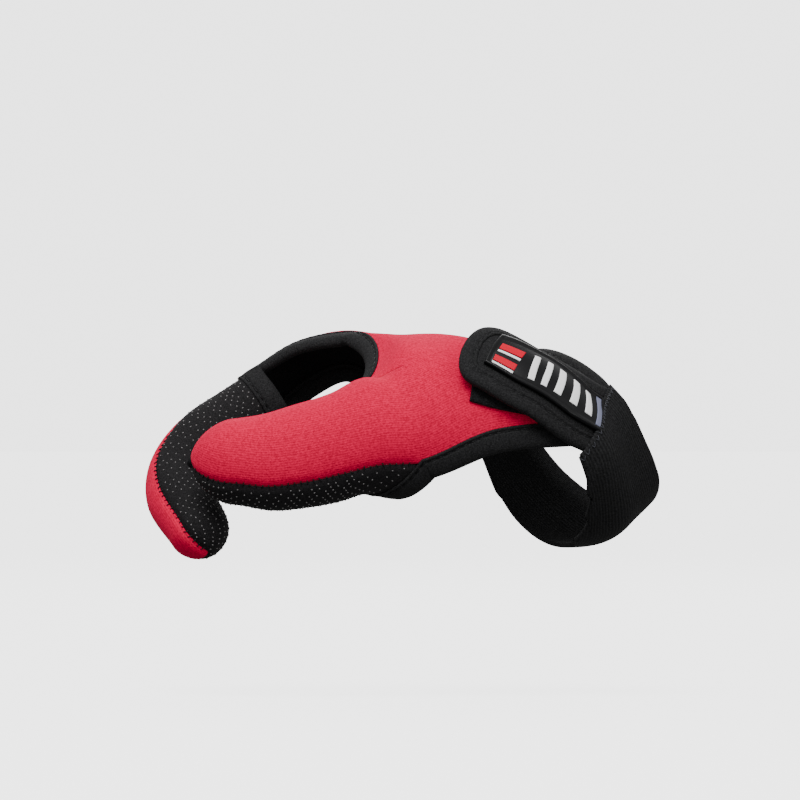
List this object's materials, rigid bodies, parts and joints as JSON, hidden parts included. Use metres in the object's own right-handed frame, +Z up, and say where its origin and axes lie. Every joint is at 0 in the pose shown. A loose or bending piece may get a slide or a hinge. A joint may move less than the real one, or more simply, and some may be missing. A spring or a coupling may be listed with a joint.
{
  "type": "fishing glove",
  "caption": "Two-finger casting glove of red foam-backed knit with black grip cloth, bound edges and an elastic wrist strap with bound tab, in its worn form",
  "frame": {"origin": "middle of the wrist ring, inside the strap, where the wrist sits", "axes": "+X from the fingertips to the wrist, +Y from the thumb side to the far side of the hand, +Z up, to the back of the hand"},
  "size_m": [0.16, 0.0765, 0.0717],
  "materials": {
    "red_knit": "fine ribbed knit bonded to foam, matte",
    "grip_cloth": "black cloth with small pale grip dots",
    "edge_tape": "folded stretch tape, matte",
    "hook_and_loop": "hook and loop pile",
    "black_knit": "foam-backed knit, matte",
    "moulded_rubber": "soft moulded rubber, satin",
    "elastic": "ribbed woven elastic"
  },
  "bodies": {
    "root": {"back_panel": "red_knit", "thumb_grip": "grip_cloth", "index_grip": "grip_cloth", "web_binding": "edge_tape", "index_binding": "edge_tape", "back_binding": "edge_tape", "wrist_binding": "edge_tape", "thenar_binding": "edge_tape", "loop_patch": "hook_and_loop", "hook_patch": "hook_and_loop", "strap_tab": "black_knit", "tab_binding": "edge_tape", "label": "moulded_rubber", "elastic_strap": "elastic"}
  },
  "joints": []
}
